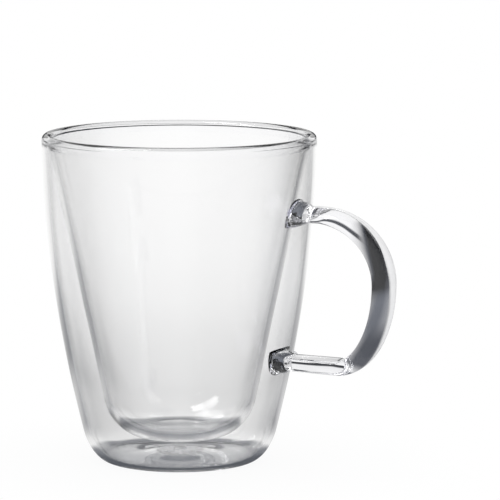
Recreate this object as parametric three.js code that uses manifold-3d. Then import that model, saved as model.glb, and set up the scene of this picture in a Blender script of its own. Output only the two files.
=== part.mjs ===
// A clear double-wall glass mug with a solid strip handle.
//
// A conical bowl hangs inside a rounded outer shell. The two blown walls are fused together along
// the rim, and the air between them keeps the drink warm. The air leaves through a vent in the base
// while the walls are fused, and a drop of glass then seals the vent. The handle is a rod of glass
// rolled flat, bent to a C and fused to the shell at both ends.
//
// Millimetres, +Z up. The mug stands on z = 0 with its handle along +X, and the origin is the middle
// of its footprint.

import * as THREE from 'three';
import { mergeVertices } from 'three/addons/utils/BufferGeometryUtils.js';
import Module from 'manifold-3d';

// Outer shell
const HEIGHT = 105.4; // table to rim
const RIM_RADIUS = 44;
const SHELL_WALL = 1.6;
const WALL_SWELL = 2.8; // how far the wall swells out of a straight line from rim to knuckle
const SWELL_HEIGHT = 58; // table to the fullest part of the swell
const KNUCKLE_RADIUS = 31.1; // where the wall starts to turn in to the base
const KNUCKLE_HEIGHT = 9.9;
const KNUCKLE_REACH = 5.4; // how far the turn runs in along the base
const KNUCKLE_FULLNESS = 0.55; // 0 is a straight chamfer, 1 a sharp corner
const FOOT_RING_WIDTH = 4; // flat ring that the mug stands on
const PUNT_HEIGHT = 1.5; // how far the middle of the base is pushed up
const PUNT_ROUNDING = 8; // how softly the punt leaves the ring and levels out

// Inner bowl
const BOWL_WALL = 1.6;
const BOWL_FLOOR = 2.2; // thickness of the floor
const BOWL_FLOOR_HEIGHT = 7.5; // table to the underside of the bowl
const BOWL_FOOT_RADIUS = 21.8; // where the cone would meet the floor without its rounding
const BOWL_ROUNDING = 15; // outside radius between the cone and the floor

// Rim bead, where the two walls run together
const RIM_DEPTH = 4; // rim down to the seam with both walls
const RIM_ROUND = 1.7; // height of the fire-polished round
const RIM_GAP = 0.8; // air left between the walls at the seam
const RIM_COVER = 1.2; // solid glass above that air

// Vent seal
const VENT_RADIUS = 2.2;
const SEAL_RADIUS = 7.4;
const SEAL_DEPTH = 0.7; // button below the base wall
const SEAL_TIP = 0.9; // dome above the base wall

// Handle
const HANDLE_DROP = 22.9; // rim down to the middle of the upper arm
const HANDLE_SPAN = 47.9; // between the middles of the two arms
const HANDLE_PROJECTION = 33.2; // rim to the outermost face of the handle
const HANDLE_WIDTH = 12;
const HANDLE_END_WIDTH = 9.6;
const HANDLE_THICKNESS = 5.1;
const HANDLE_INNER_CROWN = 0.75; // how far the face towards the mug swells: 0 is flat
const HANDLE_SQUARENESS = 2.2; // power of the section: 2 is an ellipse, more is squarer
const DRAW_LENGTH = 14; // length over which each end widens into the strip
const BELLY_DROP = 20.5; // upper arm down to the outermost point of the bend
const UPPER_ARM = 9.2; // straight arm out from the wall
const LOWER_ARM = 21.1;

// Handle welds
const WELD_LENGTH = 4.2; // wall to the end of the strip
const WELD_FLARE = 1.9; // how far the weld spreads on each side where it meets the wall
const WELD_ROOT = 3; // length that is trimmed to the wall's curve

const FUSE_GAP = 0.3; // clearance at a fused joint on a curved face

// Fineness of the facets
const TURN_STEPS = 56;
const WALL_STEPS = 9;
const KNUCKLE_STEPS = 6;
const PUNT_STEPS = 5;
const ROUNDING_STEPS = 6;
const RIM_STEPS = 8;
const GAP_STEPS = 4;
const SEAL_STEPS = 3;
const HANDLE_STEPS = 34;
const SECTION_SIDES = 20;
const WELD_STEPS = 6;

const SEAM_HEIGHT = HEIGHT - RIM_DEPTH;
const UPPER_ARM_HEIGHT = HEIGHT - HANDLE_DROP;
const LOWER_ARM_HEIGHT = UPPER_ARM_HEIGHT - HANDLE_SPAN;
const HANDLE_REACH = RIM_RADIUS + HANDLE_PROJECTION;

const wasm = await Module();
wasm.setup();

const point = (r, z) => new THREE.Vector2(r, z);

// Moves each point of an open profile sideways, to the right of its own direction.
function offsetProfile(points, distance) {
  return points.map((p, i) => {
    const before = points[Math.max(i - 1, 0)];
    const after = points[Math.min(i + 1, points.length - 1)];
    const along = after.clone().sub(before).normalize();
    return point(p.x + along.y * distance, p.y - along.x * distance);
  });
}

// Radius of a profile that runs downwards, at one height.
function radiusAt(points, height) {
  const below = points.findIndex((p) => p.y <= height);
  const upper = points[below - 1];
  const lower = points[below];
  const share = (upper.y - height) / (upper.y - lower.y);
  return upper.x + (lower.x - upper.x) * share;
}

// Height of the base's underside at one radius inside the foot ring.
function baseHeightAt(points, radius) {
  const outer = points.findLastIndex((p) => p.x >= radius);
  const from = points[outer];
  const to = points[outer + 1];
  return from.y + ((to.y - from.y) * (from.x - radius)) / (from.x - to.x);
}

// Turns a profile of radii and heights about the upright axis.
// It either starts and ends on the axis, or its last point joins its first.
function revolve(points) {
  const outline = THREE.ShapeUtils.isClockWise(points) ? points.slice().reverse() : points.slice();
  const onAxis = outline[0].x === 0 && outline[outline.length - 1].x === 0;
  if (!onAxis) {
    outline.push(outline[0].clone());
  }
  return new THREE.LatheGeometry(outline, TURN_STEPS).rotateX(Math.PI / 2);
}

// One closed ring of the strip's section, square to the way it runs in the upright plane y = 0.
// The section is a D: nearly flat towards the mug, on the right of the way it runs, and round outside.
function stripRing(centre, along, width, thickness) {
  const widest = thickness / 2 - HANDLE_INNER_CROWN;
  const ring = [];
  for (let i = 0; i < SECTION_SIDES; i++) {
    const turn = (2 * Math.PI * i) / SECTION_SIDES;
    const soften = (value) => Math.sign(value) * Math.abs(value) ** (2 / HANDLE_SQUARENESS);
    const crown = Math.cos(turn) > 0 ? HANDLE_INNER_CROWN : thickness - HANDLE_INNER_CROWN;
    const inwards = widest + soften(Math.cos(turn)) * crown;
    const across = (soften(Math.sin(turn)) * width) / 2;
    ring.push(new THREE.Vector3(centre.x + along.y * inwards, across, centre.y - along.x * inwards));
  }
  return ring;
}

// Skins a row of rings that have as many points each, and closes both ends.
function loft(rings) {
  const sides = rings[0].length;
  const last = (rings.length - 1) * sides;
  const index = [];
  for (let row = 0; row < last; row += sides) {
    for (let i = 0; i < sides; i++) {
      const next = (i + 1) % sides;
      index.push(row + i, row + next, row + sides + next);
      index.push(row + i, row + sides + next, row + sides + i);
    }
  }
  for (let i = 1; i + 1 < sides; i++) {
    index.push(0, i + 1, i);
    index.push(last, last + i, last + i + 1);
  }
  const geometry = new THREE.BufferGeometry().setFromPoints(rings.flat());
  geometry.setIndex(index);
  return geometry;
}

// A closed geometry as a solid that can be cut.
function toSolid(geometry) {
  const bare = geometry.clone();
  bare.deleteAttribute('normal');
  bare.deleteAttribute('uv');
  const merged = mergeVertices(bare);
  const corners = merged.index.array;
  const triangles = [];
  for (let i = 0; i < corners.length; i += 3) {
    const [a, b, c] = corners.slice(i, i + 3);
    if (a !== b && b !== c && c !== a) {
      triangles.push(a, b, c);
    }
  }
  const mesh = new wasm.Mesh({
    numProp: 3,
    vertProperties: new Float32Array(merged.attributes.position.array),
    triVerts: new Uint32Array(triangles),
  });
  return new wasm.Manifold(mesh);
}

function toGeometry(solid) {
  const mesh = solid.getMesh();
  const geometry = new THREE.BufferGeometry();
  geometry.setAttribute('position', new THREE.BufferAttribute(mesh.vertProperties, 3));
  geometry.setIndex(new THREE.BufferAttribute(mesh.triVerts, 1));
  geometry.computeVertexNormals();
  return geometry;
}

// Outside of the shell, from the seam at the rim down to the edge of the vent.
function shellOutside() {
  const top = point(RIM_RADIUS, SEAM_HEIGHT);
  const knuckle = point(KNUCKLE_RADIUS, KNUCKLE_HEIGHT);
  const swell = point((RIM_RADIUS + KNUCKLE_RADIUS) / 2 + 2 * WALL_SWELL, SWELL_HEIGHT);
  const wall = new THREE.QuadraticBezierCurve(top, swell, knuckle);

  const lean = (swell.x - knuckle.x) / (swell.y - knuckle.y);
  const corner = point(knuckle.x - lean * knuckle.y, 0);
  const foot = point(corner.x - KNUCKLE_REACH, 0);
  const turn = new THREE.CubicBezierCurve(
    knuckle,
    knuckle.clone().lerp(corner, KNUCKLE_FULLNESS),
    foot.clone().lerp(corner, KNUCKLE_FULLNESS),
    foot,
  );

  const ringEdge = point(foot.x - FOOT_RING_WIDTH, 0);
  const ventEdge = point(VENT_RADIUS, PUNT_HEIGHT);
  const punt = new THREE.CubicBezierCurve(
    ringEdge,
    point(ringEdge.x - PUNT_ROUNDING, ringEdge.y),
    point(ventEdge.x + PUNT_ROUNDING, ventEdge.y),
    ventEdge,
  );
  return [
    ...wall.getPoints(WALL_STEPS),
    ...turn.getPoints(KNUCKLE_STEPS).slice(1),
    ...punt.getPoints(PUNT_STEPS),
  ];
}

const outside = shellOutside();

// Radius of the bowl's outside cone at any height.
const bowlTopRadius = RIM_RADIUS - SHELL_WALL - RIM_GAP;
const coneSlope = (bowlTopRadius - BOWL_FOOT_RADIUS) / (SEAM_HEIGHT - BOWL_FLOOR_HEIGHT);
const coneRadius = (height) => BOWL_FOOT_RADIUS + (height - BOWL_FLOOR_HEIGHT) * coneSlope;
const coneInset = BOWL_WALL * Math.hypot(1, coneSlope); // the bowl's wall, measured level

function outerShell() {
  const inside = offsetProfile(outside, SHELL_WALL);
  inside[0].y = SEAM_HEIGHT;
  inside[inside.length - 1].set(VENT_RADIUS, PUNT_HEIGHT + SHELL_WALL);
  return revolve([...outside, ...inside.reverse()]);
}

// One face of the bowl, from the seam down to the axis: a cone, a rounding and a level floor.
function bowlFace(inset, floorHeight, rounding) {
  const lean = Math.atan(coneSlope);
  const corner = coneRadius(floorHeight) - inset;
  const floorRadius = corner - rounding * Math.tan((Math.PI / 2 - lean) / 2);
  const arc = new THREE.EllipseCurve(
    floorRadius,
    floorHeight + rounding,
    rounding,
    rounding,
    -lean,
    -Math.PI / 2,
    true,
  );
  const top = point(coneRadius(SEAM_HEIGHT) - inset, SEAM_HEIGHT);
  return [top, ...arc.getPoints(ROUNDING_STEPS), point(0, floorHeight)];
}

function innerBowl() {
  const below = bowlFace(0, BOWL_FLOOR_HEIGHT, BOWL_ROUNDING);
  const above = bowlFace(coneInset, BOWL_FLOOR_HEIGHT + BOWL_FLOOR, BOWL_ROUNDING - BOWL_WALL);
  return revolve([...above.reverse(), ...below]);
}

// The bead sits on the ends of both walls and arches over the air between them.
function rimBead() {
  const roundHeight = HEIGHT - RIM_ROUND;
  const innerEdge = coneRadius(roundHeight) - coneInset;
  const middle = (RIM_RADIUS + innerEdge) / 2;
  const halfWidth = (RIM_RADIUS - innerEdge) / 2;
  const round = new THREE.EllipseCurve(middle, roundHeight, halfWidth, RIM_ROUND, 0, Math.PI);
  const arch = new THREE.EllipseCurve(
    bowlTopRadius + RIM_GAP / 2,
    SEAM_HEIGHT,
    RIM_GAP / 2,
    RIM_DEPTH - RIM_COVER,
    Math.PI,
    0,
    true,
  );
  return revolve([
    point(RIM_RADIUS, SEAM_HEIGHT),
    ...round.getPoints(RIM_STEPS),
    point(bowlTopRadius - coneInset, SEAM_HEIGHT),
    ...arch.getPoints(GAP_STEPS),
  ]);
}

// A drop of glass that fills the vent: a button under the base, a stem and a small dome inside.
function ventSeal() {
  const buttonTop = baseHeightAt(outside, SEAL_RADIUS) - FUSE_GAP;
  const wallTop = PUNT_HEIGHT + SHELL_WALL;
  const stem = VENT_RADIUS - FUSE_GAP;
  const button = new THREE.EllipseCurve(0, buttonTop, SEAL_RADIUS, SEAL_DEPTH, -Math.PI / 2, 0);
  const dome = new THREE.EllipseCurve(0, wallTop, stem, SEAL_TIP, 0, Math.PI / 2);
  const outline = [
    ...button.getPoints(SEAL_STEPS),
    point(stem, buttonTop),
    ...dome.getPoints(SEAL_STEPS),
  ];
  outline[0].x = 0;
  outline[outline.length - 1].x = 0;
  return revolve(outline);
}

// The middle line of the handle in the plane y = 0: out from one weld, round the bend, back to the other.
function handleLine(upperEnd, lowerEnd) {
  const bellyRadius = HANDLE_REACH - HANDLE_THICKNESS / 2;
  const bellyHeight = UPPER_ARM_HEIGHT - BELLY_DROP;
  const upperBend = radiusAt(outside, UPPER_ARM_HEIGHT) + UPPER_ARM;
  const lowerBend = radiusAt(outside, LOWER_ARM_HEIGHT) + LOWER_ARM;
  const line = new THREE.Path();
  line.moveTo(upperEnd, UPPER_ARM_HEIGHT);
  line.lineTo(upperBend, UPPER_ARM_HEIGHT);
  line.absellipse(upperBend, bellyHeight, bellyRadius - upperBend, BELLY_DROP, Math.PI / 2, 0, true);
  line.absellipse(
    lowerBend,
    bellyHeight,
    bellyRadius - lowerBend,
    HANDLE_SPAN - BELLY_DROP,
    0,
    -Math.PI / 2,
    true,
  );
  line.lineTo(lowerEnd, LOWER_ARM_HEIGHT);
  return line;
}

function handle(upperEnd, lowerEnd) {
  const line = handleLine(upperEnd, lowerEnd);
  const length = line.getLength();
  const rings = [];
  for (let i = 0; i <= HANDLE_STEPS; i++) {
    const share = i / HANDLE_STEPS;
    const fromEnd = Math.min(share, 1 - share) * length;
    const widened = THREE.MathUtils.smoothstep(fromEnd, 0, DRAW_LENGTH);
    const width = THREE.MathUtils.lerp(HANDLE_END_WIDTH, HANDLE_WIDTH, widened);
    rings.push(stripRing(line.getPointAt(share), line.getTangentAt(share), width, HANDLE_THICKNESS));
  }
  return loft(rings);
}

// The gather of glass that joins one end of the strip to the wall. It spreads like a fillet and is
// trimmed to the wall's curve.
function handleWeld(end, height, along, wallSolid) {
  const rings = [];
  const addRing = (radius, spread) => {
    const width = HANDLE_END_WIDTH + 2 * spread;
    const thickness = HANDLE_THICKNESS + 2 * spread;
    rings.push(stripRing(point(radius, height), along, width, thickness));
  };
  addRing(end - WELD_LENGTH - WELD_ROOT, WELD_FLARE);
  for (let i = 0; i <= WELD_STEPS; i++) {
    const turn = (Math.PI / 2) * (i / WELD_STEPS);
    addRing(end - WELD_LENGTH * Math.cos(turn), WELD_FLARE * (1 - Math.sin(turn)));
  }
  if (along.x < 0) {
    rings.reverse();
  }
  return toGeometry(toSolid(loft(rings)).subtract(wallSolid));
}

const blownGlass = new THREE.MeshStandardMaterial({
  color: 0xe9eff1,
  roughness: 0.03,
  metalness: 0,
  transparent: true,
  opacity: 0.35,
});
const workedGlass = new THREE.MeshStandardMaterial({
  color: 0xdfe8ec,
  roughness: 0.05,
  metalness: 0,
  transparent: true,
  opacity: 0.45,
});

const mug = new THREE.Group();
mug.name = 'thermal_mug';

function addPart(name, geometry, material) {
  const mesh = new THREE.Mesh(geometry, material);
  mesh.name = name;
  mug.add(mesh);
}

const wallSolid = toSolid(
  revolve([
    point(0, SEAM_HEIGHT),
    ...offsetProfile(outside, -FUSE_GAP),
    point(0, PUNT_HEIGHT - FUSE_GAP),
  ]),
);
const upperEnd = radiusAt(outside, UPPER_ARM_HEIGHT) + WELD_LENGTH;
const lowerEnd = radiusAt(outside, LOWER_ARM_HEIGHT) + WELD_LENGTH;

addPart('inner_bowl', innerBowl(), blownGlass);
addPart('outer_shell', outerShell(), blownGlass);
addPart('rim_bead', rimBead(), workedGlass);
addPart('vent_seal', ventSeal(), workedGlass);
addPart('handle', handle(upperEnd, lowerEnd), workedGlass);
const outwards = point(1, 0); // the strip leaves the wall at the upper arm
const backwards = point(-1, 0); // and comes back to it at the lower arm
const upperWeld = handleWeld(upperEnd, UPPER_ARM_HEIGHT, outwards, wallSolid);
const lowerWeld = handleWeld(lowerEnd, LOWER_ARM_HEIGHT, backwards, wallSolid);
addPart('upper_handle_weld', upperWeld, workedGlass);
addPart('lower_handle_weld', lowerWeld, workedGlass);

// The footprint runs from the far side of the body to the outermost face of the handle.
const bodyRadius = Math.max(...outside.map((p) => p.x));
mug.position.x = (bodyRadius - HANDLE_REACH) / 2;

export default mug;
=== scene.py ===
# %% [markdown]
# # A double-wall glass mug
#
# The mug is two blown glass walls fused at the rim, with a strip of solid glass fused on as a handle.
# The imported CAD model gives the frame: where every piece sits and how big it is. Each step below makes
# one piece as smooth glass in that frame, and the last steps set up the light and the camera.

# %% Load the frame
import math

import bpy
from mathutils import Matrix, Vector, noise


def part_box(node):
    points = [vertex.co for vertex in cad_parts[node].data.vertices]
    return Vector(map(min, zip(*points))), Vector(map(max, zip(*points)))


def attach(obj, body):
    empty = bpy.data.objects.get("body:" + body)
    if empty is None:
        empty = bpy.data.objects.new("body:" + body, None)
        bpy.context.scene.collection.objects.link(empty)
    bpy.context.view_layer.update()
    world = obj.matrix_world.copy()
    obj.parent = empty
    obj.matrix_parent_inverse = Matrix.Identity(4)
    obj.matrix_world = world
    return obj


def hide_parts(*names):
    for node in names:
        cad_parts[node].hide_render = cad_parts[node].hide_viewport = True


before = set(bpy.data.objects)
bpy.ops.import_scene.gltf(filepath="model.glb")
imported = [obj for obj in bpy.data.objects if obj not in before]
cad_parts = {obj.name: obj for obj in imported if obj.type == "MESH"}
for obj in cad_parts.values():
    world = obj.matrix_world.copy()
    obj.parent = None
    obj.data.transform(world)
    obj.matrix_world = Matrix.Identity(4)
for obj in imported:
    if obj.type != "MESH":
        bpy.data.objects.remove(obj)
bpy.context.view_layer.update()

MM = 0.001
bowl_low, bowl_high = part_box("inner_bowl")
AXIS_X = (bowl_low.x + bowl_high.x) / 2
print(f"{len(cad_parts)} nodes, and the mug's axis is at x = {AXIS_X / MM:.2f} mm")

# %% [markdown]
# ## Drawing a round glass wall
#
# Blown glass is turned while it is hot, so every wall of the mug is a shape of revolution. On a lathe
# the worker follows a section. Here the section is a line of points, given as a distance from the
# axis and a height in millimetres. One vertex is extruded from point to point, and a Screw modifier
# turns the line round the axis, which for this many steps is much quicker than the Spin tool. A
# cylinder primitive could be scaled to fit, but it could not carry the long curve of these walls.

# %% A section line
def place(point):
    """A point of a section, with the mug's axis at X = 0, in metres."""
    return Vector((point[0] * MM, 0, point[1] * MM))


def draw_section(name, points):
    """Starts a piece as one vertex and extrudes it along the section."""
    bpy.ops.object.select_all(action="DESELECT")
    bpy.ops.mesh.primitive_plane_add(size=MM, location=place(points[0]))
    piece = bpy.context.active_object
    piece.name = piece.data.name = name
    bpy.ops.object.transform_apply(location=True, rotation=True, scale=True)
    bpy.ops.object.mode_set(mode="EDIT")
    bpy.ops.mesh.merge(type="CENTER")
    for here, there in zip(points, points[1:]):
        step = place(there) - place(here)
        bpy.ops.mesh.extrude_region_move(TRANSFORM_OT_translate={"value": step})
    bpy.ops.object.mode_set(mode="OBJECT")
    return piece


# %% The lathe
TURN_STEPS = 288
TINY = 0.0005 * MM


def report(piece):
    """Prints how big a piece is."""
    bpy.context.view_layer.update()
    size = piece.dimensions / MM
    faces = len(piece.data.polygons)
    print(f"{piece.name}: {faces} faces, {size.x:.1f} x {size.y:.1f} x {size.z:.1f} mm")


def finish_mesh():
    """Merges what lies on one spot in the active piece, and turns every face outwards."""
    bpy.ops.object.mode_set(mode="EDIT")
    bpy.ops.mesh.select_all(action="SELECT")
    bpy.ops.mesh.remove_doubles(threshold=TINY)
    bpy.ops.mesh.normals_make_consistent(inside=False)
    bpy.ops.object.mode_set(mode="OBJECT")


def move_to_axis(piece):
    """Moves a piece that was made round X = 0 to the mug's axis, and keeps its place in its mesh."""
    piece.location.x = AXIS_X
    bpy.ops.object.transform_apply(location=True, rotation=True, scale=True)
    report(piece)


def turn_on_lathe(piece):
    """Turns the section right round, closes it and moves it to the mug's axis."""
    lathe = piece.modifiers.new("lathe", "SCREW")
    lathe.axis = "Z"
    lathe.steps = lathe.render_steps = TURN_STEPS
    lathe.use_merge_vertices = True
    lathe.merge_threshold = TINY
    bpy.ops.object.modifier_apply(modifier=lathe.name)
    finish_mesh()
    move_to_axis(piece)


# %% Curves for the sections
def bezier(controls, steps):
    """Points along a Bezier curve, the smooth line that a draughtsman pulls between two ends."""
    line = []
    for i in range(steps + 1):
        row = [Vector(c) for c in controls]
        while len(row) > 1:
            row = [a.lerp(b, i / steps) for a, b in zip(row, row[1:])]
        line.append(row[0])
    return line


def arc(centre, width, height, start, end, steps):
    """Points along part of an ellipse, with the angles in degrees."""
    line = []
    for i in range(steps + 1):
        angle = math.radians(start + (end - start) * i / steps)
        line.append(Vector(centre) + Vector((width * math.cos(angle), height * math.sin(angle))))
    return line


def inset(line, depth):
    """The same line moved sideways by a wall's thickness, to the right of the way it runs."""
    moved = []
    for i, point in enumerate(line):
        along = line[min(i + 1, len(line) - 1)] - line[max(i - 1, 0)]
        moved.append(point + Vector((along.y, -along.x)).normalized() * depth)
    return moved


# %% [markdown]
# ## The outer shell
#
# The shell swells gently from the rim, turns in at a rounded knuckle and stands on a flat ring. Inside
# that ring the base is pushed up a little, as on a bottle, and has a small vent in the middle. The
# outside is one smooth line. The inside is the same line moved in by the wall's thickness, which is
# what blowing gives, and the section is closed across the top, where the rim is fused on. A Solidify
# modifier could make the inside too, but its edge at the rim would lean with the wall.

# %% The line of the shell's outside
RIM_RADIUS = (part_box("rim_bead")[1].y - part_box("rim_bead")[0].y) / 2 / MM
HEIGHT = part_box("rim_bead")[1].z / MM
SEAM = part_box("rim_bead")[0].z / MM
SWELL = Vector((43.15, 58))
KNUCKLE = Vector((31.1, 9.9))
KNUCKLE_REACH = 5.4
KNUCKLE_FULLNESS = 0.55
FOOT_RING = 4.0
PUNT_HEIGHT = 1.5
PUNT_ROUNDING = Vector((8, 0))
VENT_RADIUS = 2.2
SEAL_RADIUS = 7.4
WALL_STEPS = 64
KNUCKLE_STEPS = 36
PUNT_STEPS = 32

lean = (SWELL.x - KNUCKLE.x) / (SWELL.y - KNUCKLE.y)
corner = Vector((KNUCKLE.x - lean * KNUCKLE.y, 0))
foot = corner - Vector((KNUCKLE_REACH, 0))
ring_edge = foot - Vector((FOOT_RING, 0))
vent_edge = Vector((VENT_RADIUS, PUNT_HEIGHT))
wall_line = bezier([(RIM_RADIUS, SEAM), SWELL, KNUCKLE], WALL_STEPS)
knuckle_line = bezier(
    [KNUCKLE, KNUCKLE.lerp(corner, KNUCKLE_FULLNESS), foot.lerp(corner, KNUCKLE_FULLNESS), foot],
    KNUCKLE_STEPS)
punt_line = bezier(
    [ring_edge, ring_edge - PUNT_ROUNDING, vent_edge + PUNT_ROUNDING, vent_edge], PUNT_STEPS)
# One point of the base lies where the edge of the vent's seal will meet it
seal_edge = min(punt_line, key=lambda p: abs(p.x - SEAL_RADIUS))
seal_edge.x = SEAL_RADIUS
shell_line = wall_line + knuckle_line[1:] + punt_line
print(f"the shell's outside runs through {len(shell_line)} points")
print(f"its foot ends {foot.x:.2f} mm from the axis")

# %% Turn the shell
SHELL_WALL = 1.6

inside_line = inset(shell_line, SHELL_WALL)
inside_line[0].y = SEAM
inside_line[-1] = Vector((VENT_RADIUS, PUNT_HEIGHT + SHELL_WALL))
shell_wall = draw_section("shell_wall", shell_line + inside_line[::-1] + shell_line[:1])
turn_on_lathe(shell_wall)

# %% [markdown]
# ## The inner bowl
#
# The bowl is a plain cone with a well rounded bottom and a slightly thicker floor. It hangs from the
# rim and touches the shell nowhere else. A cone primitive with a bevelled bottom would come close, but
# on the lathe the inside gets its own rounding and the floor its own thickness. The section is open: it
# starts and ends on the axis, where the turning closes it at a point.

# %% Turn the bowl
BOWL_WALL = 1.6
BOWL_FLOOR = 2.2
BOWL_FOOT = 21.8
BOWL_ROUNDING = 15.0
RIM_GAP = 0.8
BOWL_BASE = bowl_low.z / MM
CONE_STEPS = 24
ROUNDING_STEPS = 48
FLOOR_STEPS = 8

bowl_top = RIM_RADIUS - SHELL_WALL - RIM_GAP
cone_slope = (bowl_top - BOWL_FOOT) / (SEAM - BOWL_BASE)
cone_inset = BOWL_WALL * math.hypot(1, cone_slope)


def cone_radius(height):
    """The radius of the bowl's outside at a height, without its rounding."""
    return BOWL_FOOT + (height - BOWL_BASE) * cone_slope


def bowl_face(inward, floor, rounding):
    """One face of the bowl from the seam down to the axis: a cone, a rounding and a level floor."""
    cone_angle = math.atan(cone_slope)
    floor_radius = cone_radius(floor) - inward - rounding * math.tan((math.pi / 2 - cone_angle) / 2)
    bend = arc((floor_radius, floor + rounding), rounding, rounding,
               -math.degrees(cone_angle), -90, ROUNDING_STEPS)
    top = Vector((cone_radius(SEAM) - inward, SEAM))
    side = [top.lerp(bend[0], i / CONE_STEPS) for i in range(CONE_STEPS)]
    level = [Vector((floor_radius * (1 - i / FLOOR_STEPS), floor)) for i in range(1, FLOOR_STEPS + 1)]
    return side + bend + level


under = bowl_face(0, BOWL_BASE, BOWL_ROUNDING)
over = bowl_face(cone_inset, BOWL_BASE + BOWL_FLOOR, BOWL_ROUNDING - BOWL_WALL)
bowl_wall = draw_section("bowl_wall", under[::-1] + over)
turn_on_lathe(bowl_wall)

# %% [markdown]
# ## The rim bead
#
# At the rim the two walls are melted into one ring and fire-polished round. The bead sits on the ends
# of both walls and arches over the air between them, so its section is a small horseshoe. A torus
# would be quicker, but it would not sit flat on the walls. A hair's breadth is left at every seam, so
# that no two faces lie in one place.

# %% Turn the rim bead
SEAM_GAP = 0.004
RIM_ROUND = 1.7
RIM_COVER = 1.2
DOME_STEPS = 40
ARCH_STEPS = 24

round_base = HEIGHT - RIM_ROUND
inner_edge = cone_radius(round_base) - cone_inset
dome_centre = ((RIM_RADIUS + inner_edge) / 2, round_base)
dome = arc(dome_centre, (RIM_RADIUS - inner_edge) / 2, RIM_ROUND, 0, 180, DOME_STEPS)
arch_centre = (bowl_top + RIM_GAP / 2, SEAM)
arch = arc(arch_centre, RIM_GAP / 2, HEIGHT - SEAM - RIM_COVER, 180, 0, ARCH_STEPS)
seat = [Vector((bowl_top - cone_inset, SEAM))]
start = [Vector((RIM_RADIUS, SEAM))]
bead_line = [Vector((p.x, max(p.y, SEAM + SEAM_GAP))) for p in start + dome + seat + arch + start]
rim_ring = draw_section("rim_ring", bead_line)
turn_on_lathe(rim_ring)

# %% [markdown]
# ## The vent seal
#
# Hot walls are joined with a vent open, or the air would burst them. A drop of glass closes the vent
# afterwards. It is a button under the base, a stem through the wall and a small dome inside. The drop
# sets before it is smooth, so a Displace modifier with a cloud texture dents its underside. A vertex
# group holds the rest still, or the drop would come off the wall. The dents could be a bump in the
# material, but a bump does not bend the light that passes through as real lumps do.

# %% Dent hot glass
def dent(piece, how_free, size, depth):
    """Makes a piece lumpy where its vertices are free. The lumps' size and depth are in millimetres."""
    lumps = bpy.data.textures.new("lumps", "CLOUDS")
    lumps.noise_scale = size * MM
    free = piece.vertex_groups.new(name="free")
    for vertex in piece.data.vertices:
        free.add([vertex.index], how_free(vertex), "REPLACE")
    dents = piece.modifiers.new("dents", "DISPLACE")
    dents.texture = lumps
    dents.texture_coords = "LOCAL"
    dents.vertex_group = free.name
    dents.strength = depth * MM
    bpy.ops.object.modifier_apply(modifier=dents.name)


# %% Turn the vent seal
SEAL_DEPTH = 0.7
SEAL_TIP = 0.9
SEAL_LUMP = 1.8
SEAL_DENT = 0.5
BUTTON_STEPS = 24
TIP_STEPS = 20

touching = [p for p in punt_line if p.x <= SEAL_RADIUS]
under_base = [Vector((p.x, p.y - SEAM_GAP)) for p in touching]
under_base[-1].x -= SEAM_GAP
button = arc((0, under_base[0].y), SEAL_RADIUS, SEAL_DEPTH, -90, 0, BUTTON_STEPS)
tip = arc((0, PUNT_HEIGHT + SHELL_WALL), VENT_RADIUS - SEAM_GAP, SEAL_TIP, 0, 90, TIP_STEPS)
for line_end in (button[0], tip[-1]):
    line_end.x = 0
seal_drop = draw_section("seal_drop", button + under_base[1:] + tip)
turn_on_lathe(seal_drop)


def on_underside(vertex):
    """Free below the button's edge, and more so towards its middle."""
    below = under_base[0].y - vertex.co.z / MM
    return max(0, min(1, 2 * below / SEAL_DEPTH))


dent(seal_drop, on_underside, SEAL_LUMP, SEAL_DENT)

# %% [markdown]
# ## The handle
#
# The handle is one strip of solid glass, drawn narrower at its ends and bent to a C while soft. A
# circle is shaped to the strip's rounded section and extruded step by step along the bend. At every
# step the new end face is turned with the bend and widened. A Curve modifier would also bend a strip,
# but the steps put both ends exactly where the welds meet them.

# %% The bend of the handle
REACH = (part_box("handle")[1].x - AXIS_X) / MM
HANDLE_DROP = 22.9
HANDLE_SPAN = 47.9
STRIP_WIDTH = 12.0
STRIP_END_WIDTH = 9.6
STRIP_THICKNESS = 5.1
DRAW_LENGTH = 14.0
BELLY_DROP = 20.5
UPPER_ARM = 9.2
LOWER_ARM = 21.1
WELD_LENGTH = 4.2
UPPER_ARM_STEPS = 6
UPPER_BEND_STEPS = 44
LOWER_BEND_STEPS = 48
LOWER_ARM_STEPS = 16


def wall_radius(height):
    """The radius of the shell's outside at a height, read along its line."""
    for above, below in zip(wall_line, wall_line[1:]):
        if below.y <= height <= above.y:
            return below.x + (above.x - below.x) * (height - below.y) / (above.y - below.y)


upper_height = HEIGHT - HANDLE_DROP
lower_height = upper_height - HANDLE_SPAN
belly = Vector((REACH - STRIP_THICKNESS / 2, upper_height - BELLY_DROP))
upper_wall, lower_wall = wall_radius(upper_height), wall_radius(lower_height)
bend_line = []
for i in range(UPPER_ARM_STEPS):
    out = upper_wall + WELD_LENGTH + (UPPER_ARM - WELD_LENGTH) * i / UPPER_ARM_STEPS
    bend_line.append(Vector((out, upper_height)))
bend_line += arc(
    (upper_wall + UPPER_ARM, belly.y), belly.x - upper_wall - UPPER_ARM, BELLY_DROP,
    90, 0, UPPER_BEND_STEPS)
bend_line += arc(
    (lower_wall + LOWER_ARM, belly.y), belly.x - lower_wall - LOWER_ARM, HANDLE_SPAN - BELLY_DROP,
    0, -90, LOWER_BEND_STEPS)[1:]
for i in range(1, LOWER_ARM_STEPS + 1):
    out = lower_wall + LOWER_ARM - (LOWER_ARM - WELD_LENGTH) * i / LOWER_ARM_STEPS
    bend_line.append(Vector((out, lower_height)))
bend_length = sum((b - a).length for a, b in zip(bend_line, bend_line[1:]))
print(f"the strip is {bend_length:.1f} mm long, over {len(bend_line)} steps")

# %% The section of the strip
STRIP_POINTS = 144
STRIP_SQUARENESS = 2.2
INNER_CROWN = 0.75


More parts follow.
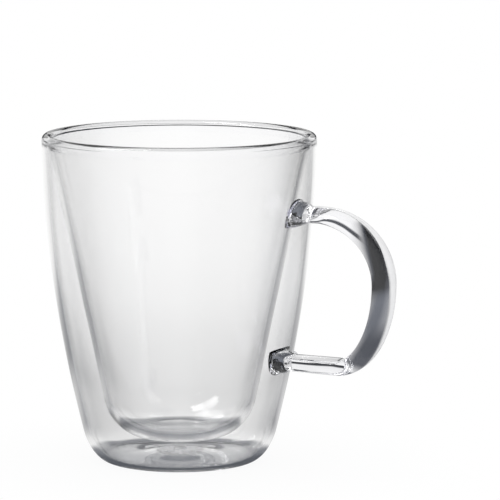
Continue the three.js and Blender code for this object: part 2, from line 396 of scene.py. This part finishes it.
def strip_end(name, point, width, thickness, outward):
    """Adds a circle that faces along X and shapes it to the strip's section, round side up or down."""
    bpy.ops.object.select_all(action="DESELECT")
    bpy.ops.mesh.primitive_circle_add(
        vertices=STRIP_POINTS, radius=1, fill_type="NGON",
        location=(0, 0, 0), rotation=(0, math.pi / 2, 0))
    piece = bpy.context.active_object
    piece.name = piece.data.name = name
    bpy.ops.object.transform_apply(location=True, rotation=True, scale=True)
    power = 2 / STRIP_SQUARENESS
    for vertex in piece.data.vertices:
        y, z = vertex.co.y, vertex.co.z
        side = math.copysign(abs(y) ** power, y) * width / 2
        crown = thickness - INNER_CROWN if z > 0 else INNER_CROWN
        rise = (math.copysign(abs(z) ** power, z) * crown + INNER_CROWN - thickness / 2) * outward
        vertex.co = place(point) + Vector((0, side, rise)) * MM
    return piece


# %% Draw the strip along the bend
def strip_width(travelled):
    """The strip's width, drawn in over its ends."""
    share = min(1, min(travelled, bend_length - travelled) / DRAW_LENGTH)
    return STRIP_END_WIDTH + (STRIP_WIDTH - STRIP_END_WIDTH) * share * share * (3 - 2 * share)


def slope(before, after):
    """How far the line has turned down from level, in radians."""
    return math.atan2(before.y - after.y, after.x - before.x)


handle_strip = strip_end("handle_strip", bend_line[0], STRIP_END_WIDTH, STRIP_THICKNESS, 1)
bpy.ops.object.mode_set(mode="EDIT")
bpy.ops.mesh.select_all(action="SELECT")
turned, travelled = 0.0, 0.0
for i in range(1, len(bend_line)):
    here, there = bend_line[i - 1], bend_line[i]
    bpy.ops.mesh.extrude_region_move(TRANSFORM_OT_translate={"value": place(there) - place(here)})
    way = slope(here, bend_line[min(i + 1, len(bend_line) - 1)])
    if i == len(bend_line) - 1:
        way = math.pi
    way = way % math.tau
    bpy.ops.transform.rotate(value=turned - way, orient_axis="Y", center_override=place(there))
    wider = strip_width(travelled + (there - here).length) / strip_width(travelled)
    bpy.ops.transform.resize(value=(1, wider, 1), center_override=place(there))
    turned, travelled = way, travelled + (there - here).length
bpy.ops.object.mode_set(mode="OBJECT")
finish_mesh()
move_to_axis(handle_strip)

# %% [markdown]
# ## The handle's welds
#
# Each end of the strip is pushed onto the hot wall. The soft glass piles up in a round shoulder and wets
# the wall in a thin foot. A bevel between the strip and the wall would look too even. A weld starts as
# the strip's end, is extruded towards the wall while it spreads, and its rings are then laid to the
# wall's own curve. Its last step sinks into a shallow pocket in the wall, as fused glass does. The flame
# leaves the pile lumpy between its two ends.

# %% The form of a weld
WELD_FLARE = 1.9
WELD_STEPS = 28
WELD_SHOULDER = 1.1
SHOULDER_FULLNESS = 0.7
FOOT_START = 0.72
LUMPS_RISE = 5
LUMPS_FALL = 6
SMOOTH_FOOT = 2


def wall_face(vertex_y, vertex_z):
    """How far the shell's outside lies along X beside a point, in metres."""
    return math.sqrt((wall_radius(vertex_z / MM) * MM) ** 2 - vertex_y ** 2)


def weld_spread(share):
    """How far the weld spreads beside the strip: a round shoulder first, then the foot on the wall."""
    round_share = math.sin(math.pi / 2 * min(1, share / FOOT_START)) ** SHOULDER_FULLNESS
    foot_share = max(0, share - FOOT_START) / (1 - FOOT_START)
    foot_spread = (WELD_FLARE - WELD_SHOULDER) * (1 - math.cos(math.pi / 2 * foot_share))
    return WELD_SHOULDER * round_share + foot_spread


def between_ends(vertex):
    """Free in the middle of a weld, over a few of its steps from either end."""
    step = vertex.index // STRIP_POINTS
    return max(0, min(1, step / LUMPS_RISE, (WELD_STEPS - SMOOTH_FOOT - step) / LUMPS_FALL))


# %% Lay the welds to the wall
ROOT_DEPTH = 0.25
ROOT_RINGS = [1.0, 0.8, 0.6, 0.4, 0.2, 0.04]
LUMP_SIZE = 1.8
LUMP_DEPTH = 0.32


def close_root(centre):
    """Closes the end with rings that shrink to its middle, so that it can follow the wall's curve."""
    size = 1.0
    for smaller in ROOT_RINGS:
        bpy.ops.mesh.extrude_region_move(TRANSFORM_OT_translate={"value": Vector((0, 0, 0))})
        bpy.ops.transform.resize(value=(1, smaller / size, smaller / size), center_override=centre)
        size = smaller


def handle_weld(name, height, outward):
    """Extrudes a weld from the strip's end, lays it to the wall and makes it lumpy."""
    end = wall_radius(height) + WELD_LENGTH - SEAM_GAP
    weld = strip_end(name, (end, height), STRIP_END_WIDTH, STRIP_THICKNESS, outward)
    bpy.ops.object.mode_set(mode="EDIT")
    bpy.ops.mesh.select_all(action="SELECT")
    done, spread = 0.0, 0.0
    for i in range(1, WELD_STEPS + 1):
        reach = i / WELD_STEPS
        flare = weld_spread(reach)
        step = Vector((-WELD_LENGTH * (reach - done) * MM, 0, 0))
        bpy.ops.mesh.extrude_region_move(TRANSFORM_OT_translate={"value": step})
        wide = (STRIP_END_WIDTH + 2 * flare) / (STRIP_END_WIDTH + 2 * spread)
        deep = (STRIP_THICKNESS + 2 * flare) / (STRIP_THICKNESS + 2 * spread)
        centre = place((end - WELD_LENGTH * reach, height))
        bpy.ops.transform.resize(value=(1, wide, deep), center_override=centre)
        done, spread = reach, flare
    close_root(centre)
    bpy.ops.object.mode_set(mode="OBJECT")
    end_x = end * MM
    for i, vertex in enumerate(weld.data.vertices):
        share = (end_x - vertex.co.x) / (WELD_LENGTH * MM)
        sunk = (ROOT_DEPTH - SEAM_GAP) * MM if i // STRIP_POINTS > WELD_STEPS else 0
        vertex.co.x = end_x + (wall_face(vertex.co.y, vertex.co.z) - end_x) * share - sunk
    dent(weld, between_ends, LUMP_SIZE, LUMP_DEPTH)
    finish_mesh()
    move_to_axis(weld)
    return weld


upper_weld = handle_weld("upper_weld", upper_height, 1)
lower_weld = handle_weld("lower_weld", lower_height, -1)

# %% Cut a shallow pocket in the wall under each weld
CUTTER_PROUD = 1


def cut_pocket(height, outward):
    """Sinks the outline of a weld's root into the shell with a Boolean, and removes the cutter."""
    width = STRIP_END_WIDTH + 2 * (WELD_FLARE + SEAM_GAP)
    thickness = STRIP_THICKNESS + 2 * (WELD_FLARE + SEAM_GAP)
    cutter = strip_end("cutter", (0, height), width, thickness, outward)
    bpy.ops.object.mode_set(mode="EDIT")
    bpy.ops.mesh.select_all(action="SELECT")
    close_root(place((0, height)))
    bpy.ops.object.mode_set(mode="OBJECT")
    for i, vertex in enumerate(cutter.data.vertices):
        off = CUTTER_PROUD if i < STRIP_POINTS else -ROOT_DEPTH
        vertex.co.x = wall_face(vertex.co.y, vertex.co.z) + off * MM
    bpy.ops.object.mode_set(mode="EDIT")
    bpy.ops.mesh.select_all(action="SELECT")
    bpy.ops.mesh.normals_make_consistent(inside=False)
    bpy.ops.object.mode_set(mode="OBJECT")
    move_to_axis(cutter)
    bpy.context.view_layer.objects.active = shell_wall
    pocket = shell_wall.modifiers.new("pocket", "BOOLEAN")
    pocket.operation = "DIFFERENCE"
    pocket.solver = "EXACT"
    pocket.object = cutter
    bpy.ops.object.modifier_apply(modifier=pocket.name)
    bpy.data.objects.remove(cutter)
    report(shell_wall)


cut_pocket(upper_height, 1)
cut_pocket(lower_height, -1)

# %% [markdown]
# ## The glass
#
# Both walls and the handle are borosilicate, the heat-proof glass of laboratory ware. It bends light by
# an index of 1.473, and its faint grey shows only where the eye looks along a wall. A tinted surface
# would show as much grey across a wall as along it. So the colour is a Volume Absorption, which deepens
# with the length of glass that the light crosses, and the surface is left white. Two pieces that are
# melted together have no surface between them. The faces that meet there carry an attribute, fused,
# and where it is 1 the index falls to 1, so light goes straight on. The flame does not reach the middle
# of a weld. A film of air stays under it there, which throws the light back, and that is why a
# pressed-on handle has a dark mottled patch where it meets the wall.

# %% Helpers for materials
def linear(hex_colour):
    """An sRGB hex colour as the linear values that shaders use."""
    shares = [int(hex_colour[i:i + 2], 16) / 255 for i in (1, 3, 5)]
    return [s / 12.92 if s <= 0.04045 else ((s + 0.055) / 1.055) ** 2.4 for s in shares] + [1]


def add_node(tree, kind, settings=None, links=None):
    """Adds a node, sets its properties or its inputs' values, and links its inputs."""
    node = tree.nodes.new(kind)
    for name, value in (settings or {}).items():
        if name == "stops":
            while len(node.color_ramp.elements) < len(value):
                node.color_ramp.elements.new(1)
            for stop, (position, colour) in zip(node.color_ramp.elements, value):
                stop.position, stop.color = position, linear(colour)
        elif isinstance(name, int) or name in node.inputs:
            node.inputs[name].default_value = value
        else:
            setattr(node, name, value)
    for name, source in (links or {}).items():
        tree.links.new(source, node.inputs[name])
    return node


def new_material(name):
    """An empty material and its node tree."""
    material = bpy.data.materials.new(name)
    material.use_nodes = True
    material.node_tree.nodes.clear()
    return material, material.node_tree


# %% Make the two glasses
WHITE = "#ffffff"
GLASS_INDEX = 1.473
TINT_DEPTH = 6.6


def make_glass(name, tint, wave, height, stretch):
    """Clear glass that takes on the tint over a depth, with faint waves. Lengths are in millimetres."""
    glass, tree = new_material(name)
    spot = add_node(tree, "ShaderNodeTexCoord")
    drawn = add_node(tree, "ShaderNodeMapping", {"Scale": (1, 1, 1 / stretch)},
                     {"Vector": spot.outputs["Object"]})
    waves = add_node(tree, "ShaderNodeTexNoise", {"Scale": 1 / (wave * MM), "Detail": 2.0},
                     {"Vector": drawn.outputs["Vector"]})
    skin = add_node(tree, "ShaderNodeBump", {"Strength": 1.0, "Distance": height * MM},
                    {"Height": waves.outputs["Fac"]})
    fused = add_node(tree, "ShaderNodeAttribute", {"attribute_name": "fused"})
    index = add_node(tree, "ShaderNodeMath",
                     {"operation": "MULTIPLY_ADD", 1: 1 - GLASS_INDEX, 2: GLASS_INDEX},
                     {0: fused.outputs["Fac"]})
    shader = add_node(
        tree, "ShaderNodeBsdfPrincipled",
        {"Base Color": linear(WHITE), "Roughness": 0.0, "IOR": GLASS_INDEX, "Transmission Weight": 1.0},
        {"IOR": index.outputs[0], "Normal": skin.outputs["Normal"]})
    kept = linear(tint)[:3]
    density = max(-math.log(k) for k in kept) / (TINT_DEPTH * MM)
    colour = [1 + math.log(k) / (TINT_DEPTH * MM) / density for k in kept] + [1]
    grey = add_node(tree, "ShaderNodeVolumeAbsorption", {"Color": colour, "Density": density})
    add_node(tree, "ShaderNodeOutputMaterial", None,
             {"Surface": shader.outputs["BSDF"], "Volume": grey.outputs["Volume"]})
    print(f"{name}: density {density:.1f} per metre, colour {[round(c, 3) for c in colour[:3]]}")
    return glass


# Blown into a turning mould, which draws faint upright waves along the wall
blown_glass = make_glass(
    "blown borosilicate glass", "#fefefe", wave=14, height=0.06, stretch=4)
# Drawn, bent and pressed by hand in a flame, which leaves short waves
worked_glass = make_glass(
    "flame-worked borosilicate glass", "#fdfdfe", wave=7, height=0.03, stretch=1)

# %% Where the glass is melted together
NEAR = 0.01
SUNK = 0.02
LEVEL = 0.9
FACING_UP = 0.5
UPRIGHT = 0.1
POCKET_REACH = 6
AIR_REACH = 0.76
AIR_UNEVEN = 0.25
AIR_PATCH = 2.0


def at_rim_seam(radius, height, face):
    """The level ends of the walls, and what sits on them."""
    return abs(height - SEAM) < NEAR and abs(face.normal.z) > LEVEL


def has_air(height, face):
    """In the middle of a weld, out to an uneven edge."""
    middle = upper_height if height > belly.y else lower_height
    across = face.center.y / MM / (STRIP_END_WIDTH / 2 + WELD_FLARE)
    up = (height - middle) / (STRIP_THICKNESS / 2 + WELD_FLARE)
    uneven = noise.noise(face.center / (AIR_PATCH * MM))
    return math.hypot(across, up) + AIR_UNEVEN * uneven < AIR_REACH


def in_pocket(radius, height, face):
    """Inside the two pockets: deeper than the outside, and well short of the inside."""
    if face.center.x < 0 or not lower_height - POCKET_REACH < height < upper_height + POCKET_REACH:
        return False
    return SUNK < wall_radius(height) - radius < 2 * ROOT_DEPTH and not has_air(height, face)


def at_vent(radius, height, face):
    """The vent's wall, and the underside of the base where the button covers it."""
    on_wall = abs(radius - VENT_RADIUS) < NEAR and abs(face.normal.z) < UPRIGHT
    return on_wall or (VENT_RADIUS < radius < SEAL_RADIUS and 0 < height < PUNT_HEIGHT + NEAR)


def on_shell(radius, height, face):
    """All the places where the shell is melted to another piece."""
    places = (at_rim_seam, in_pocket, at_vent)
    return any(is_there(radius, height, face) for is_there in places)


def on_seal(radius, height, face):
    """The drop's stem and the top of its button."""
    on_stem = abs(face.normal.z) < UPRIGHT and PUNT_HEIGHT < height < PUNT_HEIGHT + SHELL_WALL
    return on_stem or (face.normal.z > FACING_UP and height < PUNT_HEIGHT + NEAR)


def at_strip_end(radius, height, face):
    """The only faces with many corners are the ends of the strip and what meets them."""
    return len(face.vertices) > 4


def on_weld(radius, height, face):
    """The root in its pocket, but for the film of air, and the end that meets the strip."""
    if wall_radius(height) - radius > SUNK:
        return not has_air(height, face)
    return at_strip_end(radius, height, face)


# %% Dress the pieces
SMOOTH_ANGLE = 30


def dress(piece, node, glass, is_fused):
    """Gives a piece its glass, marks its fused faces, hangs it from the root and hides its CAD node."""
    piece.data.materials.clear()
    piece.data.materials.append(glass)
    marks = piece.data.attributes.new("fused", "FLOAT", "FACE")
    count = 0
    for face in piece.data.polygons:
        face.material_index = 0
        centre = (face.center - Vector((AXIS_X, 0, 0))) / MM
        fused = bool(is_fused(math.hypot(centre.x, centre.y), centre.z, face))
        marks.data[face.index].value = float(fused)
        count += fused
    bpy.ops.object.select_all(action="DESELECT")
    piece.select_set(True)
    bpy.context.view_layer.objects.active = piece
    bpy.ops.object.shade_smooth_by_angle(angle=math.radians(SMOOTH_ANGLE))
    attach(piece, "root")
    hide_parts(node)
    print(f"{piece.name}: {count} fused faces")


dress(shell_wall, "outer_shell", blown_glass, on_shell)
dress(bowl_wall, "inner_bowl", blown_glass, at_rim_seam)
dress(rim_ring, "rim_bead", worked_glass, at_rim_seam)
dress(seal_drop, "vent_seal", worked_glass, on_seal)
dress(handle_strip, "handle", worked_glass, at_strip_end)
dress(upper_weld, "upper_handle_weld", worked_glass, on_weld)
dress(lower_weld, "lower_handle_weld", worked_glass, on_weld)

# %% [markdown]
# ## The floor
#
# Clear glass has next to no colour of its own: what the eye sees is the room, bent. Glass is therefore
# photographed on a bright field, with a white sweep behind it and darker boards at both sides, which
# the curved edges of the glass gather into dark lines. The floor is that sweep, and it glows rather than
# takes light. To the camera it is plain white with a faint shadow painted where the mug stands on it.
# Seen through the glass it has a painted shadow under the mug that pales outwards, a painted pool of
# light behind the mug and painted shade towards the darker sides of the studio. The boards could be
# objects, but they would stand in the way of other views.

# %% The tones of the studio, all round the mug
VIEW_TURN = 30.7
# Each tone has an angle in degrees: 0 is straight behind the mug as it is seen, and 90 is at its right
# In the world these far tones are the studio's light. On the floor far out they are painted shade that
# meets it.
FAR_SIDES = [
    (-180, "#fafafa"), (-110, "#ededed"), (-60, "#dcdcdc"), (-45, "#a0a1a2"), (-30, "#e8e8e8"),
    (-15, WHITE), (20, WHITE), (30, "#dcdcdc"), (42, "#45484f"), (48, "#0c0e11"), (75, "#0c0e11"),
    (90, "#55575d"), (115, "#c4c5c7"), (155, "#f3f3f3"), (180, "#fafafa")]
# On the floor the middle and near tones are painted shade: white behind the mug as a painted pool of
# light, darker at the sides, and darkest at the right, where a painted shadow of the handle lies.
MIDDLE_PAINTED_SHADE = [
    (-180, "#e4e4e4"), (-105, "#e4e4e4"), (-85, "#aaabac"), (-65, "#d3d3d4"), (-45, "#95969a"),
    (-25, "#bcbdbe"), (-12, WHITE), (15, WHITE), (25, "#cbcbcc"), (50, "#a0a1a4"),
    (65, "#71757e"), (80, "#71757e"), (95, "#a0a2a7"), (120, "#cbcbcc"), (180, "#e4e4e4")]
NEAR_PAINTED_SHADE = [
    (-180, "#c6c7c9"), (-60, "#b0b1b4"), (-30, "#ededed"), (-12, WHITE), (20, WHITE),
    (50, "#cbcbcd"), (75, "#5a5d64"), (100, "#5a5d64"), (120, "#8f9196"), (180, "#c6c7c9")]


def tones_around(tree, way, tones):
    """Adds the nodes that look up the tone of the studio in a direction away from the mug."""
    turned = add_node(
        tree, "ShaderNodeVectorRotate",
        {"rotation_type": "Z_AXIS", "Angle": -math.radians(VIEW_TURN)}, {"Vector": way})
    parts = add_node(tree, "ShaderNodeSeparateXYZ", None, {0: turned.outputs[0]})
    angle = add_node(tree, "ShaderNodeMath", {"operation": "ARCTAN2"},
                     {0: parts.outputs["X"], 1: parts.outputs["Y"]})
    share = add_node(tree, "ShaderNodeMath", {"operation": "MULTIPLY_ADD", 1: 1 / math.tau, 2: 0.5},
                     {0: angle.outputs[0]})
    stops = [(degrees / 360 + 0.5, colour) for degrees, colour in tones]
    return add_node(tree, "ShaderNodeValToRGB", {"stops": stops}, {"Fac": share.outputs[0]})


# %% Lay the floor
FLOOR_SIZE = 20
FLOOR_DROP = 0.1

bpy.ops.object.select_all(action="DESELECT")
bpy.ops.mesh.primitive_plane_add(size=FLOOR_SIZE, location=(0, 0, -FLOOR_DROP * MM))
floor = bpy.context.active_object
floor.name = "floor"
print(f"the floor is {FLOOR_SIZE} m wide and lies {FLOOR_DROP} mm under the mug")

# %% The floor's painted shadow around the mug, by the distance from its axis
POOL_EDGE = 500
# Each tone has a distance from the mug's axis in millimetres
# Seen through the glass: a painted shadow under the mug's foot, then painted shade that pales to white
# far out
PAINTED_SHADOW_AROUND_MUG = [
    (0, "#8e9095"), (20, "#84868b"), (22.5, "#595c62"), (27, "#595c62"), (29, "#828489"),
    (32, "#828489"), (34.5, "#ececec"), (110, "#e4e4e4"), (340, "#fafafa"), (480, WHITE)]
# Each zone is where one list of sides takes over from the last
NEAR_ZONE = (36, 62)
MIDDLE_ZONE = (100, 160)
FAR_ZONE = (230, 410)

paper, tree = new_material("white sweep with painted shadow and shade")
spot = add_node(tree, "ShaderNodeTexCoord")
offset = add_node(tree, "ShaderNodeVectorMath", {"operation": "SUBTRACT", 1: (AXIS_X, 0, 0)},
                  {0: spot.outputs["Object"]})
away = add_node(tree, "ShaderNodeVectorMath", {"operation": "LENGTH"}, {0: offset.outputs[0]})
reach = add_node(tree, "ShaderNodeMath", {"operation": "DIVIDE", 1: POOL_EDGE * MM},
                 {0: away.outputs["Value"]})
painted_shadow_around_mug = add_node(tree, "ShaderNodeValToRGB",
                {"stops": [(radius / POOL_EDGE, colour) for radius, colour in PAINTED_SHADOW_AROUND_MUG]},
                {"Fac": reach.outputs[0]})
near_painted_shade, middle_painted_shade, far_painted_shade = [
    tones_around(tree, offset.outputs[0], tones).outputs["Color"]
    for tones in (NEAR_PAINTED_SHADE, MIDDLE_PAINTED_SHADE, FAR_SIDES)]
near_share, middle_share, far_share = [
    add_node(tree, "ShaderNodeMapRange",
             {"interpolation_type": "SMOOTHSTEP", "From Min": start * MM, "From Max": end * MM},
             {"Value": away.outputs["Value"]}).outputs[0]
    for start, end in (NEAR_ZONE, MIDDLE_ZONE, FAR_ZONE)]
nearer = add_node(tree, "ShaderNodeMix", {"data_type": "RGBA"},
                  {0: middle_share, 6: near_painted_shade, 7: middle_painted_shade})
sides = add_node(tree, "ShaderNodeMix", {"data_type": "RGBA"},
                 {0: far_share, 6: nearer.outputs[2], 7: far_painted_shade})
# Seen through the glass, the painted shade of the sides multiplies the painted shadow around the mug
painted_light_and_shade = add_node(tree, "ShaderNodeMix", {"data_type": "RGBA", "blend_type": "MULTIPLY"},
                 {0: near_share, 6: painted_shadow_around_mug.outputs["Color"], 7: sides.outputs[2]})
print(f"the floor has {len(PAINTED_SHADOW_AROUND_MUG)} tones outwards, and its sides are whole {FAR_ZONE[1]} mm away")

# %% The floor as the camera sees it
SHADOW_REACH = 60
SHADOW_SHOWN = 0.07
SHADOW = [(0.0, "#82868f"), (0.25, "#a2a5ac"), (0.5, "#cacccf"), (1.0, WHITE)]

covered = add_node(tree, "ShaderNodeAmbientOcclusion",
                   {"samples": 6, "Distance": SHADOW_REACH * MM})
shadow = add_node(tree, "ShaderNodeValToRGB", {"stops": SHADOW}, {"Fac": covered.outputs["AO"]})
plain = add_node(tree, "ShaderNodeMix", {"data_type": "RGBA", 0: SHADOW_SHOWN, 6: linear(WHITE)},
                 {7: shadow.outputs["Color"]})
rays = add_node(tree, "ShaderNodeLightPath")
shown = add_node(tree, "ShaderNodeMix", {"data_type": "RGBA"},
                 {0: rays.outputs["Is Camera Ray"], 6: painted_light_and_shade.outputs[2], 7: plain.outputs[2]})
glow = add_node(tree, "ShaderNodeEmission", {"Strength": 1.0}, {"Color": shown.outputs[2]})
# From below the floor is not there, so that the base can be looked at
side_seen = add_node(tree, "ShaderNodeNewGeometry")
gone = add_node(tree, "ShaderNodeBsdfTransparent")
sheet = add_node(tree, "ShaderNodeMixShader", None,
                 {0: side_seen.outputs["Backfacing"], 1: glow.outputs[0], 2: gone.outputs[0]})
add_node(tree, "ShaderNodeOutputMaterial", None, {"Surface": sheet.outputs[0]})
floor.data.materials.append(paper)
print(f"{paper.name}: {len(tree.nodes)} nodes")

# %% [markdown]
# ## The light
#
# The rest of the studio is far away, so it is the world: the same tones all round and, behind the mug,
# light and dark bands at different heights. It is white wherever the camera looks past the mug. One
# softbox stands high on the left. The hollow of the bowl gathers it into a small bright drop. The whole
# studio could be lit by lamps alone, but the glass would then show the lamps and not the soft field.

# %% The studio's walls and ceiling
# Each tone has a height above the horizon in degrees
LEVELS = [
    (0, "#26282d"), (4.5, "#2c2e34"), (6.5, "#f3f3f3"), (24, WHITE),
    (26.5, "#3f4249"), (31.5, "#3f4249"), (35, WHITE), (90, "#f3f3f3")]
# The bands are there where this is white
BLACK = "#000000"
BEHIND = [(-180, BLACK), (-40, BLACK), (-30, WHITE), (30, WHITE), (40, BLACK), (180, BLACK)]

world = bpy.data.worlds.new("studio")
bpy.context.scene.world = world
world.use_nodes = True
tree = world.node_tree
tree.nodes.clear()
way = add_node(tree, "ShaderNodeTexCoord")
sides = tones_around(tree, way.outputs["Generated"], FAR_SIDES)
parts = add_node(tree, "ShaderNodeSeparateXYZ", None, {0: way.outputs["Generated"]})
height = add_node(tree, "ShaderNodeMath", {"operation": "ARCSINE"}, {0: parts.outputs["Z"]})
share = add_node(tree, "ShaderNodeMath", {"operation": "MULTIPLY", 1: 2 / math.pi},
                 {0: height.outputs[0]})
levels = add_node(tree, "ShaderNodeValToRGB",
                  {"stops": [(degrees / 90, colour) for degrees, colour in LEVELS]},
                  {"Fac": share.outputs[0]})
behind = tones_around(tree, way.outputs["Generated"], BEHIND)
walls = add_node(tree, "ShaderNodeMix", {"data_type": "RGBA", "blend_type": "MULTIPLY"},
                 {0: behind.outputs["Color"], 6: sides.outputs["Color"], 7: levels.outputs["Color"]})
rays = add_node(tree, "ShaderNodeLightPath")
seen = add_node(tree, "ShaderNodeMix", {"data_type": "RGBA", 7: linear(WHITE)},
                {0: rays.outputs["Is Camera Ray"], 6: walls.outputs[2]})
sky = add_node(tree, "ShaderNodeBackground", {"Strength": 1.0}, {"Color": seen.outputs[2]})
add_node(tree, "ShaderNodeOutputWorld", None, {"Surface": sky.outputs[0]})
print(f"{world.name}: {len(FAR_SIDES)} tones all round and {len(LEVELS)} levels behind the mug")

# %% The softbox
BOX_TURN = -105
BOX_RISE = 54
BOX_AWAY = 1200
BOX_SIZE = (240, 1000)
BOX_BRIGHTNESS = 8.0

turn, rise = math.radians(VIEW_TURN - BOX_TURN), math.radians(BOX_RISE)
middle = Vector((AXIS_X, 0, HEIGHT / 2 * MM))
towards = Vector((-math.sin(turn) * math.cos(rise), math.cos(turn) * math.cos(rise), math.sin(rise)))
bpy.ops.object.light_add(type="AREA", location=middle + towards * BOX_AWAY * MM)
softbox = bpy.context.active_object
softbox.name = "softbox"
softbox.rotation_mode = "QUATERNION"
softbox.rotation_quaternion = towards.to_track_quat("Z", "Y")
softbox.data.shape = "RECTANGLE"
softbox.data.size, softbox.data.size_y = BOX_SIZE[0] * MM, BOX_SIZE[1] * MM
softbox.data.energy = BOX_BRIGHTNESS * math.pi * softbox.data.size * softbox.data.size_y
softbox.visible_camera = False
print(f"the softbox gives {softbox.data.energy:.2f} W")

# %% [markdown]
# ## The camera
#
# The mug is seen from a little above its rim through a long lens, which keeps its sides nearly true. A
# camera could be moved about until the edges meet. Here its angles and its distance come from the
# ellipse of the rim and from the outlines, and it is aimed so that the middle of the mug falls where it
# does in the photograph. That needs no lens shift. A ray may cross a dozen walls of glass before it gets
# out, so more bounces are allowed than usual, or the glass would turn black where many walls overlap.

# %% The camera
VIEW_RISE = 8.595
VIEW_DISTANCE = 1200
LENS = 269.0
# In pixels of a frame of 500 by 500: the lens, the middle of the frame and the middle of the mug
LENS_PIXELS = 3736.2
FRAME_MIDDLE = 250
MUG_ACROSS = 179.59
MUG_DOWN = 296.5

pixels_per_mm = LENS_PIXELS / VIEW_DISTANCE
turn, rise = math.radians(VIEW_TURN), math.radians(VIEW_RISE)
back = Vector((math.sin(turn) * math.cos(rise), -math.cos(turn) * math.cos(rise), math.sin(rise)))
right = Vector((math.cos(turn), math.sin(turn), 0))
up = back.cross(right)
aside = right * (FRAME_MIDDLE - MUG_ACROSS) / pixels_per_mm * MM
above = up * (MUG_DOWN - FRAME_MIDDLE) / pixels_per_mm * MM
aim = middle + aside + above
bpy.ops.object.camera_add(location=middle + back * VIEW_DISTANCE * MM)
camera = bpy.context.active_object
camera.data.lens = LENS
camera.rotation_mode = "QUATERNION"
camera.rotation_quaternion = (aim - camera.location).to_track_quat("-Z", "Y")
print(f"the camera stands {VIEW_DISTANCE} mm away and {VIEW_RISE} degrees up, with a {LENS:.0f} mm lens")

# %% How the picture is made
GLASS_BOUNCES = 48
GLOSSY_BOUNCES = 32
CLEAR_BOUNCES = 64

scene = bpy.context.scene
scene.camera = camera
scene.view_settings.view_transform = "Standard"
scene.cycles.max_bounces = GLASS_BOUNCES
scene.cycles.transmission_bounces = GLASS_BOUNCES
scene.cycles.glossy_bounces = GLOSSY_BOUNCES
scene.cycles.transparent_max_bounces = CLEAR_BOUNCES
print(f"light may cross {GLASS_BOUNCES} faces of glass")
